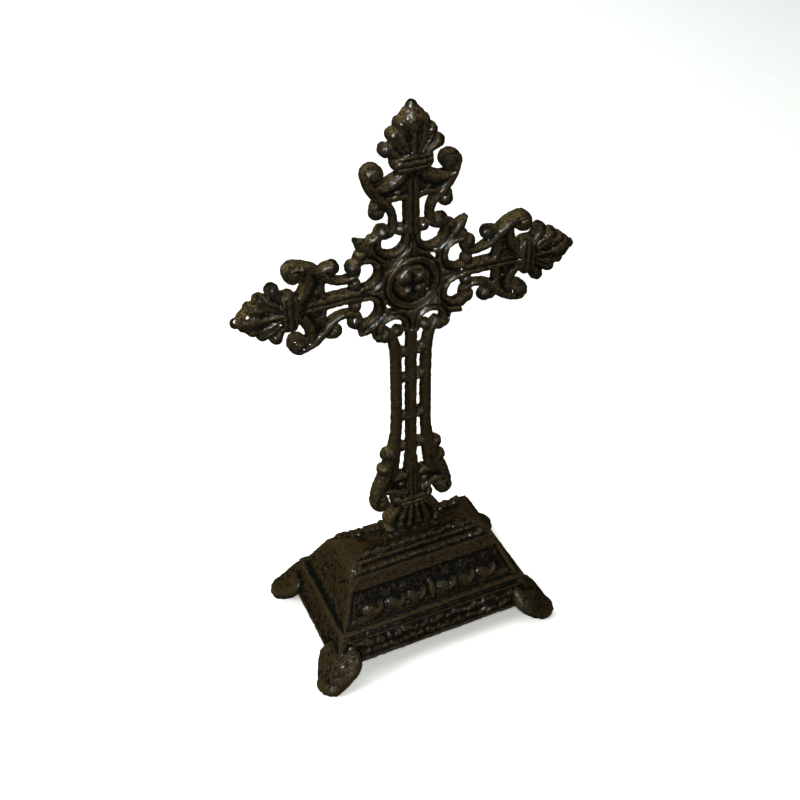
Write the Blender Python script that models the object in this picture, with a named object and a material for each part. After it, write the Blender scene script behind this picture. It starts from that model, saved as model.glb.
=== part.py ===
"""Cast-iron altar cross: an openwork Latin cross bolted onto a hollow stepped plinth with four paw feet.

The cross lies in the XZ plane and faces -Y, and the plinth stands on the XY plane.  Lengths in the
functions are millimetres; they become metres when a mesh is made.
"""

import math

import bmesh
import bpy
from mathutils import Matrix, Vector

MM = 0.001
SIDES = (1, -1)
QUARTER_TURN = math.pi / 2

# Driving dimensions of the cross
HEIGHT = 305.0
ARM_REACH = 86.5
ROSETTE_Z = HEIGHT - ARM_REACH
BAND_DEPTH = 3.0
RING_RADIUS = 13.5
LOOP_CENTRE = (9.8, 23.7)
LOOP_RADIUS = 8.0
LOOP_SIDES = 6
SCROLL_RADIUS = 4.3
COLLAR_START = 55.5
COLUMN_X = 8.0
LINK_HEIGHTS = (180.0, 164.7, 141.0, 121.2)

# Driving dimensions of the plinth: half length, half width and height of each level
SKIRT_FOOT = (61.2, 38.8, 13.4)
SKIRT_TOP = (56.0, 32.8, 28.0)
RIDGE = (55.8, 32.5, 29.8)
HIP_FOOT = (52.8, 29.8, 30.6)
HIP_TOP = (42.8, 17.0, 54.2)
ROOF_FOOT = (41.4, 14.6, 54.8)
ROOF_SHOULDER = (39.2, 10.6, 57.9)
ROOF_TOP = (33.0, 6.6, 60.0)
WALL = 3.6
FOOT_CORNER = (58.2, 34.0)
FOOT_TURN = math.radians(33)
CEILING_Z = 55.0

# Foot of the cross and its fixing
GAP = 0.3
BLOCK = (13.4, 5.0)
BLOCK_TOP = 71.0
TENON = (4.6, 3.0)
TENON_DEPTH = 3.4
SCREW_RADIUS = 2.5
SCREW_TIP = 66.0
WASHER_THICKNESS = 1.2
FLAT_WASHER_RADIUS = 8.0
SPRING_WASHER_RADIUS = 4.4
HEAD_RADIUS = 4.6
HEAD_HEIGHT = 3.5


# Scene and materials

def clear_scene():
    for obj in list(bpy.data.objects):
        bpy.data.objects.remove(obj)


def make_material(name, colour, roughness, metallic):
    material = bpy.data.materials.new(name)
    material.use_nodes = True
    material.diffuse_color = (*colour, 1.0)
    shader = material.node_tree.nodes["Principled BSDF"]
    shader.inputs["Base Color"].default_value = (*colour, 1.0)
    shader.inputs["Roughness"].default_value = roughness
    shader.inputs["Metallic"].default_value = metallic
    return material


def make_object(name, bm, material, collection=None):
    """Turns a bmesh in millimetres into an object in metres."""
    bmesh.ops.recalc_face_normals(bm, faces=bm.faces)
    bmesh.ops.scale(bm, vec=(MM, MM, MM), verts=bm.verts)
    mesh = bpy.data.meshes.new(name)
    bm.to_mesh(mesh)
    bm.free()
    mesh.materials.append(material)
    obj = bpy.data.objects.new(name, mesh)
    (collection or bpy.context.scene.collection).objects.link(obj)
    return obj


def helper_collection(name):
    """A collection of solids that only feed a Boolean."""
    collection = bpy.data.collections.new(name)
    bpy.context.scene.collection.children.link(collection)
    collection.hide_render = True
    return collection


def add_piece(collection, material, build, *args, **options):
    """Makes one closed shell with a builder and keeps it as a Boolean helper."""
    bm = bmesh.new()
    build(bm, *args, **options)
    name = f"{collection.name}_{len(collection.objects):03d}"
    obj = make_object(name, bm, material, collection)
    obj.hide_render = True
    obj.display_type = "WIRE"
    return obj


def add_boolean(obj, operation, collection):
    modifier = obj.modifiers.new(collection.name, "BOOLEAN")
    modifier.operation = operation
    modifier.solver = "EXACT"
    modifier.operand_type = "COLLECTION"
    modifier.collection = collection


# Shape builders: each adds one closed shell to a bmesh

def arm_frame(degrees):
    """Places (across, depth, outward) of an arm in the world; 0 degrees is the top arm."""
    turn = Matrix.Rotation(math.radians(degrees), 4, "Y")
    return Matrix.Translation((0, 0, ROSETTE_Z)) @ turn


TOP_ARM, RIGHT_ARM, SHAFT, LEFT_ARM = (arm_frame(turn) for turn in (0, 90, 180, 270))


def down_to(z):
    """The distance of a height from the rosette's centre, measured along the shaft."""
    return ROSETTE_Z - z


def smooth_path(points, steps):
    """A Catmull-Rom curve through the points, every value of a point included."""
    padded = [points[0], *points, points[-1]]
    path = []
    for four in zip(padded, padded[1:], padded[2:], padded[3:]):
        for step in range(steps):
            t = step / steps
            path.append([
                0.5 * (2 * b + (c - a) * t + (2 * a - 5 * b + 4 * c - d) * t * t
                       + (3 * b - a - 3 * c + d) * t ** 3)
                for a, b, c, d in zip(*four)
            ])
    return [*path, points[-1]]


def build_loft(bm, rings):
    """Joins rings of equally many points into a shell with flat ends."""
    rows = [[bm.verts.new(point) for point in ring] for ring in rings]
    count = len(rows[0])
    for row, following in zip(rows, rows[1:]):
        for i in range(count):
            j = (i + 1) % count
            bm.faces.new((row[i], row[j], following[j], following[i]))
    bm.faces.new(rows[0])
    bm.faces.new(reversed(rows[-1]))


CROWNED = ((1, 0.82), (0, 1), (-1, 0.82), (-1, -0.82), (0, -1), (1, -0.82))
FLAT = ((1, 1), (-1, 1), (-1, -1), (1, -1))


def build_band(bm, frame, points, side=1, steps=1, section=CROWNED):
    """A band of one section along points of (across, outward, half width, half depth)."""
    path = smooth_path(points, steps)
    rings = []
    for i, (v, u, half, depth) in enumerate(path):
        after, before = path[min(i + 1, len(path) - 1)], path[max(i - 1, 0)]
        along = Vector((after[0] - before[0], after[1] - before[1])).normalized() * half
        rings.append([
            frame @ Vector((side * (v + k * along.y), depth * y, u - k * along.x)) for k, y in section
        ])
    build_loft(bm, rings)


def build_drop(bm, frame, root, tip, half, depth, side=1, blunt=0.5):
    """A lobe that swells from its root and narrows to its tip."""
    points = [
        (root[0] + (tip[0] - root[0]) * t, root[1] + (tip[1] - root[1]) * t, half * swell, depth * swell)
        for t, swell in ((0, 0.5), (0.45, 0.9), (0.8, 1.0), (1.0, blunt))
    ]
    build_band(bm, frame, points, side)


def build_ball(bm, frame, centre, radius, side=1, segments=8, rings=5):
    """A ball in the middle plane of the cross, with its poles front and back."""
    v, u = centre
    place = frame @ Matrix.Translation((side * v, 0, u)) @ Matrix.Rotation(QUARTER_TURN, 4, "X")
    bmesh.ops.create_uvsphere(bm, u_segments=segments, v_segments=rings, radius=radius, matrix=place)


def build_collar(bm, frame, start, length=8.5):
    """A flaring neck, moulding and lip along an arm, outwards from start."""
    shape = ((-1.2, 3.2, 3.4), (0.4, 6.8, 3.9), (2.4, 8.6, 4.6), (3.4, 9.3, 5.0), (4.6, 8.8, 4.6),
             (5.8, 9.3, 5.0), (7.0, 9.1, 4.8), (length, 7.6, 3.7))
    corner = ((1, 0.6), (0.8, 1), (-0.8, 1), (-1, 0.6), (-1, -0.6), (-0.8, -1), (0.8, -1), (1, -0.6))
    build_loft(bm, [
        [frame @ Vector((half * v, depth * y, start + u)) for v, y in corner]
        for u, half, depth in shape
    ])


def build_turned(bm, frame, profile, segments):
    """Turns a profile of (radius, y) about the frame's Y axis, from one face's centre to the other."""
    rows = []
    for radius, y in profile:
        turns = [2 * math.pi * i / segments for i in range(segments if radius else 1)]
        rows.append([
            bm.verts.new(frame @ Vector((radius * math.cos(a), y, radius * math.sin(a))))
            for a in turns
        ])
    for row, following in zip(rows, rows[1:]):
        for i in range(segments):
            j = (i + 1) % segments
            corners = (row[i % len(row)], row[j % len(row)],
                       following[j % len(following)], following[i % len(following)])
            bm.faces.new(dict.fromkeys(corners))


def build_steps(bm, levels):
    """Stacks rectangles of (half length, half width, height)."""
    corners = ((1, 1), (-1, 1), (-1, -1), (1, -1))
    build_loft(bm, [[Vector((x * a, y * b, z)) for a, b in corners] for x, y, z in levels])


def build_cylinder(bm, radius, low, high, segments=24):
    bmesh.ops.create_cone(
        bm, cap_ends=True, segments=segments, radius1=radius, radius2=radius, depth=high - low,
        matrix=Matrix.Translation((0, 0, (low + high) / 2)),
    )


def ball_points(centre, radius, segments=10, rings=6):
    """Points spread over a ball."""
    points = []
    for row in range(rings + 1):
        tilt = math.pi * row / rings
        for i in range(segments if 0 < row < rings else 1):
            turn = 2 * math.pi * i / segments
            outward = Vector((math.sin(tilt) * math.cos(turn), math.sin(tilt) * math.sin(turn), math.cos(tilt)))
            points.append(centre + radius * outward)
    return points


def build_hull(bm, balls):
    """The convex skin round balls of (centre, radius), cut flat at the ground."""
    for centre, radius in balls:
        for point in ball_points(centre, radius):
            bm.verts.new(point)
    hull = bmesh.ops.convex_hull(bm, input=bm.verts)
    spare = {item for item in hull["geom_interior"] + hull["geom_unused"]
             if isinstance(item, bmesh.types.BMVert)}
    bmesh.ops.delete(bm, geom=list(spare), context="VERTS")
    cut = bmesh.ops.bisect_plane(
        bm, geom=[*bm.verts, *bm.edges, *bm.faces], plane_co=(0, 0, 0), plane_no=(0, 0, 1),
        clear_inner=True,
    )
    rim = [item for item in cut["geom_cut"] if isinstance(item, bmesh.types.BMEdge)]
    bmesh.ops.contextual_create(bm, geom=rim)


# The cross

STEM = ((13.6, 26.2, 1.5, 3.0), (10.2, 27.4, 1.7, 3.1), (8.9, 31.5, 1.7, 3.1), (9.3, 36.0, 1.7, 3.1),
        (11.4, 40.6, 2.0, 3.3), (15.2, 44.2, 2.4, 3.7), (19.0, 48.8, 2.4, 4.2), (20.9, 54.0, 2.2, 4.7),
        (20.6, 58.8, 2.0, 4.9), (17.2, 60.0, 1.6, 4.6))
CRESCENT = ((5.0, 55.4, 2.2, 3.3), (9.4, 51.8, 2.4, 3.5), (13.8, 50.4, 2.2, 3.6), (18.8, 51.4, 1.6, 3.3))
LEAF = ((1.6, 44.4, 1.4, 2.8), (7.2, 45.6, 2.0, 2.8), (11.6, 45.2, 1.8, 2.8), (15.8, 46.4, 1.2, 2.8))
WEB = ((2.0, 49.6, 3.5, 1.3), (15.0, 48.8, 2.3, 1.3))
CURL = ((13.2, 45.0, 1.3, 2.9), (17.7, 43.2, 1.8, 3.2), (19.4, 39.4, 1.2, 2.7))
ARM_BALLS = (((18.3, 57.0), SCROLL_RADIUS), ((16.6, 38.7), 3.7), ((14.2, 28.6), 4.1), ((5.5, 28.1), 3.1))
LOBES = (((4.2, 62.0), (13.2, 67.4), 3.3, 3.9), ((3.6, 63.0), (9.9, 74.2), 3.3, 3.7),
         ((2.3, 64.0), (6.2, 79.2), 3.1, 3.5))
TIP_LEAF = ((0, 60.5, 2.2, 3.8), (0, 70.0, 3.6, 4.0), (0, 78.0, 5.2, 3.6), (0, 82.4, 3.8, 2.6),
            (0, ARM_REACH, 0.7, 0.5))


def loop_points():
    """The open loop between a bar and a diagonal leaf, from the bar round to the leaf."""
    v, u = LOOP_CENTRE
    turns = (math.radians(168 + 212 * i / LOOP_SIDES) for i in range(LOOP_SIDES + 1))
    return [(v + LOOP_RADIUS * math.cos(a), u + LOOP_RADIUS * math.sin(a), 2.0, 2.9) for a in turns]


def add_arm(parts, material, frame):
    """One of the three like arms: bar, loops, scrolls, collar and leaf finial."""
    bar = ((0, 8.0, 4.2, BAND_DEPTH), (0, 16.0, 3.6, BAND_DEPTH), (0, 57.5, 3.5, BAND_DEPTH))
    add_piece(parts, material, build_band, frame, bar, section=FLAT)
    for side in SIDES:
        for points in (loop_points(), STEM, CRESCENT, CURL):
            add_piece(parts, material, build_band, frame, points, side)
        for points in (LEAF, WEB):
            add_piece(parts, material, build_band, frame, points, side, section=FLAT)
        for centre, radius in ARM_BALLS:
            add_piece(parts, material, build_ball, frame, centre, radius, side)
        for lobe in LOBES:
            add_piece(parts, material, build_drop, frame, *lobe, side)
    add_piece(parts, material, build_collar, frame, COLLAR_START)
    add_piece(parts, material, build_band, frame, TIP_LEAF)


def add_diagonal_leaves(parts, material):
    """The three-lobed leaves between the arms; the lower pair is shorter and droops less."""
    upper = (((10.6, 10.6), (28.0, 28.0)), ((19.0, 25.2), 3.0), ((25.2, 19.0), 3.0))
    lower = (((10.6, -10.6), (26.6, -22.8)), ((17.6, -22.6), 3.0), ((25.0, -17.0), 2.8))
    for (root, tip), *lobes in (upper, lower):
        for side in SIDES:
            add_piece(parts, material, build_drop, TOP_ARM, root, tip, 3.7, 3.3, side, blunt=0.15)
            for centre, radius in lobes:
                add_piece(parts, material, build_ball, TOP_ARM, centre, radius, side)


def add_rosette(parts, material):
    """The ring and the domed boss inside it, alike front and back."""
    front = ((0, -4.0), (5.5, -3.5), (9.3, -2.0), (10.4, -1.5), (11.6, -3.4), (RING_RADIUS, -2.7))
    back = [(radius, -y) for radius, y in reversed(front)]
    add_piece(parts, material, build_turned, TOP_ARM, [*front, *back], 20)


def add_shaft(parts, material):
    """The three uprights with their links, and the scrolls that widen them at the foot."""
    bar = ((0, 8.0, 4.0, 3.0), (0, 22.0, 3.0, 3.0), (0, 28.0, 2.4, 3.0), (0, down_to(112), 2.5, 3.0),
           (0, down_to(100), 3.9, 3.1), (0, down_to(86), 4.4, 3.1))
    column = ((12.4, 23.4, 1.6, 3.0), (10.2, 27.4, 2.3, 3.1), (8.6, 34.0, 2.6, 3.1),
              (COLUMN_X, 44.0, 2.6, 3.1), (COLUMN_X, down_to(140), 2.6, 3.1),
              (8.5, down_to(130), 2.8, 3.1), (9.7, down_to(122), 3.4, 3.2),
              (11.2, down_to(114), 4.2, 3.3), (13.8, down_to(105), 4.5, 3.6),
              (19.0, down_to(97.6), 3.0, 4.2), (21.0, down_to(90.0), 2.1, 4.7),
              (18.6, down_to(84.2), 1.8, 4.6))
    inner_leaf = ((1.6, down_to(101), 1.5, 2.8), (6.6, down_to(101.5), 2.1, 2.8),
                  (12.0, down_to(102), 2.2, 2.8), (16.6, down_to(101), 1.4, 2.8))
    crescent = ((5.0, down_to(87.6), 2.0, 3.3), (9.4, down_to(91.8), 2.2, 3.5),
                (13.6, down_to(94.6), 2.0, 3.6), (18.4, down_to(94), 1.5, 3.3))
    web = ((2.0, down_to(97), 3.4, 1.3), (16.0, down_to(98), 2.0, 1.3))
    balls = (((18.3, down_to(87.0)), SCROLL_RADIUS), ((15.6, down_to(109)), 3.6),
             ((13.4, down_to(118.6)), 4.0), ((8.6, down_to(85.6)), 3.4),
             ((14.0, 26.4), 3.4), ((7.2, 25.0), 3.1))
    for side in SIDES:
        for points in (loop_points(), column, crescent):
            add_piece(parts, material, build_band, SHAFT, points, side)
        for points in (inner_leaf, web):
            add_piece(parts, material, build_band, SHAFT, points, side, section=FLAT)
        for centre, radius in balls:
            add_piece(parts, material, build_ball, SHAFT, centre, radius, side)
    add_piece(parts, material, build_band, SHAFT, bar, section=FLAT)
    for z in LINK_HEIGHTS:
        link = [(v, down_to(z), half, 2.6) for v, half in ((-COLUMN_X, 1.7), (0, 2.0), (COLUMN_X, 1.7))]
        add_piece(parts, material, build_band, SHAFT, link)


def add_foot(parts, material):
    """The lower collar, the spreading leaf fan, the foot block and the tenon under it."""
    add_piece(parts, material, build_collar, SHAFT, down_to(88.2))
    for side in SIDES:
        for root, tip, half in (((4.6, 83.0), (14.4, 73.6), 3.6), ((2.6, 83.0), (8.4, 72.0), 3.0)):
            ends = ((root[0], down_to(root[1])), (tip[0], down_to(tip[1])))
            add_piece(parts, material, build_drop, SHAFT, *ends, half, 5.4, side)
    middle = ((0, down_to(84), 2.0, 5.0), (0, down_to(78), 2.9, 6.0), (0, down_to(71), 2.2, 6.2))
    add_piece(parts, material, build_band, SHAFT, middle)
    block = [(*BLOCK, ROOF_TOP[2] + GAP), (*BLOCK, BLOCK_TOP), (8.6, 4.2, 80.0)]
    add_piece(parts, material, build_steps, block)
    tenon = [(*TENON, ROOF_TOP[2] - TENON_DEPTH), (*TENON, ROOF_TOP[2] + 2)]
    add_piece(parts, material, build_steps, tenon)


def make_cross(material):
    parts = helper_collection("cross_parts")
    for frame in (TOP_ARM, LEFT_ARM, RIGHT_ARM):
        add_arm(parts, material, frame)
    add_diagonal_leaves(parts, material)
    add_shaft(parts, material)
    add_foot(parts, material)
    add_rosette(parts, material)
    tapped = helper_collection("cross_tapped_hole")
    hole = SCREW_RADIUS + GAP
    add_piece(tapped, material, build_cylinder, hole, CEILING_Z - 2, SCREW_TIP + 1, 16)
    bm = bmesh.new()
    core = ((0, -30.0, 1.5, 2.2), (0, 30.0, 1.5, 2.2))
    build_band(bm, TOP_ARM, core)
    cross = make_object("cross_casting", bm, material)
    add_boolean(cross, "UNION", parts)
    add_boolean(cross, "DIFFERENCE", tapped)
    return cross


# The plinth

def inset(level, by):
    return (level[0] - by, level[1] - by, level[2])


def add_mouldings(parts, material):
    """The flat band, the reeds and the row of dentils that climb the front and the back."""
    for side in SIDES:
        for y, z, radius, half in ((13.6, 54.6, 1.9, 36.5), (10.6, 57.4, 1.4, 33.5)):
            add_piece(parts, material, build_rod, half, side * y, z, radius)
        for i in range(9):
            add_piece(parts, material, build_bump, (-24 + 6 * i, side * 7.4, 60.0), (1.9, 1.7, 1.6))


def build_rod(bm, half, y, z, radius):
    turn = Matrix.Rotation(QUARTER_TURN, 4, "Y")
    bmesh.ops.create_cone(
        bm, cap_ends=True, segments=8, radius1=radius, radius2=radius, depth=2 * half,
        matrix=Matrix.Translation((0, y, z)) @ turn,
    )


def build_bump(bm, centre, size):
    place = Matrix.Translation(centre) @ Matrix.Diagonal((*size, 1))
    bmesh.ops.create_icosphere(bm, subdivisions=1, radius=1, matrix=place)


def slope_point(x, share):
    """A point on the front slope, at a share of the way up it."""
    y = HIP_FOOT[1] + (HIP_TOP[1] - HIP_FOOT[1]) * share
    return (x, -y, HIP_FOOT[2] + (HIP_TOP[2] - HIP_FOOT[2]) * share)


def add_swags(parts, material):
    """The upright leaf and three scrolled leaves on each side of it, on the long slopes."""
    for face in SIDES:
        for x, share, width in ((0, 0.34, 2.2), (9, 0.28, 4.2), (21, 0.24, 5.2), (35, 0.26, 5.6)):
            for side in (SIDES if x else (1,)):
                cx, cy, cz = slope_point(side * x, share)
                add_piece(parts, material, build_bump, (cx, face * cy, cz), (width, 2.6, 3.6))


def foot_balls(x_side, y_side):
    """The balls whose skin is one paw, from its knee at the plinth's corner to its toes."""
    outward = Vector((x_side * math.cos(FOOT_TURN), y_side * math.sin(FOOT_TURN), 0))
    across = Vector((-outward.y, outward.x, 0))
    corner = Vector((x_side * FOOT_CORNER[0], y_side * FOOT_CORNER[1], 0))
    shape = ((-6.0, 3.0, 21.0, 5.0), (-1.5, 5.6, 16.0, 6.0), (4.0, 3.6, 9.4, 6.9), (9.6, 1.9, 4.5, 5.7))
    return [
        (corner + outward * out + across * apart * side + Vector((0, 0, z)), radius)
        for out, apart, z, radius in shape for side in SIDES
    ]


def add_feet(parts, material):
    for x_side in SIDES:
        for y_side in SIDES:
            add_piece(parts, material, build_hull, foot_balls(x_side, y_side))


def make_base(material):
    bm = bmesh.new()
    lip = (SKIRT_FOOT[0], SKIRT_FOOT[1], SKIRT_FOOT[2] + 1.2)
    roof = (ROOF_FOOT, ROOF_SHOULDER, ROOF_TOP)
    build_steps(bm, [inset(SKIRT_FOOT, 0.8), lip, SKIRT_TOP, RIDGE, HIP_FOOT, HIP_TOP, *roof])
    base = make_object("base_casting", bm, material)

    hollow = helper_collection("base_hollow")
    levels = [(SKIRT_FOOT[0] - WALL, SKIRT_FOOT[1] - WALL, SKIRT_FOOT[2] - 2), inset(SKIRT_TOP, WALL + 0.4),
              inset(HIP_FOOT, WALL), (33.5, 10.2, CEILING_Z - 1.5), (31.0, 8.6, CEILING_Z)]
    add_piece(hollow, material, build_steps, levels)
    add_boolean(base, "DIFFERENCE", hollow)

    details = helper_collection("base_details")
    add_mouldings(details, material)
    add_swags(details, material)
    add_feet(details, material)
    add_boolean(base, "UNION", details)

    socket = helper_collection("base_socket")
    opening = (TENON[0] + GAP, TENON[1] + GAP)
    add_piece(socket, material, build_steps, [(*opening, CEILING_Z - 2), (*opening, ROOF_TOP[2] + 4)])
    add_boolean(base, "DIFFERENCE", socket)
    return base


# The fixing under the plinth's roof, from the roof down

def make_ring(name, material, outer, inner, low, high, slot=0.0):
    """A washer; a slot splits it, as in a spring washer."""
    bm = bmesh.new()
    build_cylinder(bm, outer, low, high, 32)
    ring = make_object(name, bm, material)
    cutters = helper_collection(f"{name}_cutters")
    add_piece(cutters, material, build_cylinder, inner, low - 1, high + 1, 32)
    if slot:
        add_piece(cutters, material, build_slot, slot, outer + 1, low - 1, high + 1)
    add_boolean(ring, "DIFFERENCE", cutters)
    return ring


def build_slot(bm, width, reach, low, high):
    half = width / 2
    corners = ((half, 0), (half, reach), (-half, reach), (-half, 0))
    build_loft(bm, [[Vector((x, y, z)) for x, y in corners] for z in (low, high)])


def make_fixing(material):
    bore = SCREW_RADIUS + GAP
    flat_top = CEILING_Z - GAP
    flat_low = flat_top - WASHER_THICKNESS
    make_ring("flat_washer", material, FLAT_WASHER_RADIUS, bore, flat_low, flat_top)
    spring_top = flat_low - GAP
    spring_low = spring_top - WASHER_THICKNESS
    make_ring("spring_washer", material, SPRING_WASHER_RADIUS, bore, spring_low, spring_top, slot=0.9)
    head_top = spring_low - GAP
    bm = bmesh.new()
    build_cylinder(bm, HEAD_RADIUS, head_top - HEAD_HEIGHT, head_top, 6)
    screw = make_object("fixing_screw", bm, material)
    shank = helper_collection("screw_shank")
    add_piece(shank, material, build_cylinder, SCREW_RADIUS, head_top - 1, SCREW_TIP, 20)
    add_boolean(screw, "UNION", shank)


def main():
    clear_scene()
    iron = make_material("lacquered_cast_iron", (0.045, 0.034, 0.022), 0.5, 0.6)
    plinth_iron = make_material("lacquered_cast_iron_plinth", (0.040, 0.031, 0.021), 0.55, 0.6)
    steel = make_material("zinc_plated_steel", (0.45, 0.45, 0.44), 0.35, 1.0)
    make_cross(iron)
    make_base(plinth_iron)
    make_fixing(steel)


main()
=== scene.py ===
"""The looks of a cast-iron altar cross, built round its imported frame.

Two detailed castings stand for the plain ones of the frame. Each is made of overlapping solid shapes that a
fine remesh runs together, as the foundry's sand mould does. The screw and its washers keep their shape.
Lengths in the functions are millimetres: +Z up, the cross in the XZ plane, its front towards -Y.
"""

import math
import random

import bmesh
import bpy
import numpy as np
from mathutils import Matrix, Vector


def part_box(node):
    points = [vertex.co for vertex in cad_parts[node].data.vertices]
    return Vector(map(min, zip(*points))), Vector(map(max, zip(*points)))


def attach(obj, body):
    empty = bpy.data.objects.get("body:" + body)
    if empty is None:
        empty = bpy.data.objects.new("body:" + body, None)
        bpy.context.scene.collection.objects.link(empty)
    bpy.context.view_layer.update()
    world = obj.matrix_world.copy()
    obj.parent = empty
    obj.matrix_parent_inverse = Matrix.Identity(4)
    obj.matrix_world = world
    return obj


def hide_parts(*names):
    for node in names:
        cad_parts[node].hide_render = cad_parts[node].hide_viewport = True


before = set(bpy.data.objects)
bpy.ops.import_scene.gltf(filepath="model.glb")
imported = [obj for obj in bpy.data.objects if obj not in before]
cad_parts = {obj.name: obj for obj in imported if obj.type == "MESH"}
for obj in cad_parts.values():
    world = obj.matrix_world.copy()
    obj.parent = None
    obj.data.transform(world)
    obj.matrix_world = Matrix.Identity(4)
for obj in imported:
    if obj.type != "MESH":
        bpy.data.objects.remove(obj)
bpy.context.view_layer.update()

MM = 0.001
SIDES = (1, -1)
QUARTER_TURN = math.pi / 2

# The cross, as in the frame
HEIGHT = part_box("cross_casting")[1].z / MM
ARM_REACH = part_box("cross_casting")[1].x / MM
ROSETTE_Z = HEIGHT - ARM_REACH
LOOP_CENTRE = (9.8, 23.7)
LOOP_RADIUS = 8.0
SCROLL_CENTRE = (18.3, 56.8)
COLLAR_START = 55.5
COLUMN_X = 8.0
LINK_HEIGHTS = (180.0, 164.7, 141.0, 121.2)
SCROLL_TURN = 330
LOWER_COLLAR_Z = 88.4
LOWER_SCROLL = (18.0, 87.2)

# The plinth, as in the frame: half length, half width and height of each level
SKIRT_FOOT = (61.2, 38.8, 13.4)
SKIRT_TOP = (56.0, 32.8, 28.0)
HIP_FOOT = (52.8, 29.8, 30.6)
HIP_TOP = (42.8, 17.0, 54.2)
ROOF_FOOT = (41.4, 14.6, 54.8)
ROOF_TOP = (33.0, 6.6, 60.0)
SOCKET = (4.9, 3.3)
WALL = 3.6
FOOT_CORNER = (58.2, 34.0)
FOOT_TURN = math.radians(33)

# The long slope, measured up from its foot and in from its end edges
LOWER_BAND = 4.4
TOP_BAND_SHARE = 0.73
END_BORDER = 2.6
SWAGS_X = (-34.0, -21.0, -8.6, 10.0, 21.4, 34.4)
SLOPE_LIFT = 0.1

# Grain of the casting
VOXEL = 0.4
MOST_FACES = 190_000
GRAIN_SIZES = (3.2, 1.3)
CROSS_GRAIN, PLINTH_GRAIN = 0.62, 0.5
CROSS_SMOOTHING, PLINTH_SMOOTHING = 3, 2
KNOB_SEED, DENT_SEED = 5, 11
RELIEF_ROUNDS = 24
SUNK_SHADE = 0.11

# The camera
TARGET = Vector((-0.0059, 0.0, 0.1509))
DISTANCE = 0.5356
AZIMUTH, ELEVATION, ROLL = math.radians(24.27), math.radians(37.43), math.radians(0.39)
LENS = 48.36


# Shapes: each adds one closed shell to a bmesh

def arm_frame(degrees):
    """Places (across, depth, outward) of an arm in the world; 0 degrees is the top arm."""
    turn = Matrix.Rotation(math.radians(degrees), 4, "Y")
    return Matrix.Translation((0, 0, ROSETTE_Z)) @ turn


TOP_ARM, RIGHT_ARM, SHAFT, LEFT_ARM = (arm_frame(turn) for turn in (0, 90, 180, 270))


def down_to(z):
    """The distance of a height from the rosette's centre, measured along the shaft."""
    return ROSETTE_Z - z


LOWER_SCROLL_CENTRE = (LOWER_SCROLL[0], down_to(LOWER_SCROLL[1]))


def smooth_path(points, steps):
    """A Catmull-Rom curve through the points, every value of a point included."""
    padded = [points[0], *points, points[-1]]
    path = []
    for four in zip(padded, padded[1:], padded[2:], padded[3:]):
        for step in range(steps):
            t = step / steps
            path.append([
                0.5 * (2 * b + (c - a) * t + (2 * a - 5 * b + 4 * c - d) * t * t
                       + (3 * b - a - 3 * c + d) * t ** 3)
                for a, b, c, d in zip(*four)
            ])
    return [*path, list(points[-1])]


def loft(bm, rings, cyclic=False):
    """Joins rings of equally many points into a closed shell."""
    rows = [[bm.verts.new(point) for point in ring] for ring in rings]
    count = len(rows[0])
    pairs = list(zip(rows, rows[1:]))
    if cyclic:
        pairs.append((rows[-1], rows[0]))
    for row, following in pairs:
        for i in range(count):
            j = (i + 1) % count
            bm.faces.new((row[i], row[j], following[j], following[i]))
    if not cyclic:
        bm.faces.new(rows[0])
        bm.faces.new(reversed(rows[-1]))


def oval(power, sides):
    """A unit section of (across, depth): 2 is an ellipse, and a higher power is squarer."""
    points = []
    for i in range(sides):
        turn = 2 * math.pi * i / sides
        c, s = math.cos(turn), math.sin(turn)
        across = math.copysign(abs(c) ** (2 / power), c)
        depth = math.copysign(abs(s) ** (2 / power), s)
        points.append((across, depth))
    return points


NOSE_SHARES = (0.5, 0.8, 0.96)


def rounded_ends(path):
    """Adds points past both ends that close the band in a round nose."""
    noses = []
    for end, inner in ((path[0], path[1]), (path[-1], path[-2])):
        along = Vector((end[0] - inner[0], end[1] - inner[1])).normalized()
        nose = []
        for share in NOSE_SHARES:
            reach, shrink = 0.9 * end[2] * share, math.sqrt(1 - share * share)
            nose.append([end[0] + along.x * reach, end[1] + along.y * reach,
                         end[2] * shrink, end[3] * (0.4 + 0.6 * shrink)])
        noses.append(nose)
    return [*reversed(noses[0]), *path, *noses[1]]


def band(bm, place, points, side=1, steps=4, section=oval(2.6, 16)):
    """A band along points of (across, outward, half width, half depth)."""
    path = rounded_ends(smooth_path(points, steps))
    rings = []
    for i, (v, u, half, depth) in enumerate(path):
        after, before = path[min(i + 1, len(path) - 1)], path[max(i - 1, 0)]
        along = Vector((after[0] - before[0], after[1] - before[1])).normalized() * half
        rings.append([
            place @ Vector((side * (v + k * along.y), depth * y, u - k * along.x)) for k, y in section
        ])
    loft(bm, rings)


def turned_by_one(row):
    return [*row[1:], row[0]]


BALL_SIDES, BALL_ROWS = 18, 10
UNIT_BALL = [
    [Vector((math.sin(down) * math.cos(turn), math.sin(down) * math.sin(turn), math.cos(down)))
     for turn in (2 * math.pi * i / BALL_SIDES for i in range(BALL_SIDES))]
    for down in (math.pi * row / BALL_ROWS for row in range(1, BALL_ROWS))
]


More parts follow.
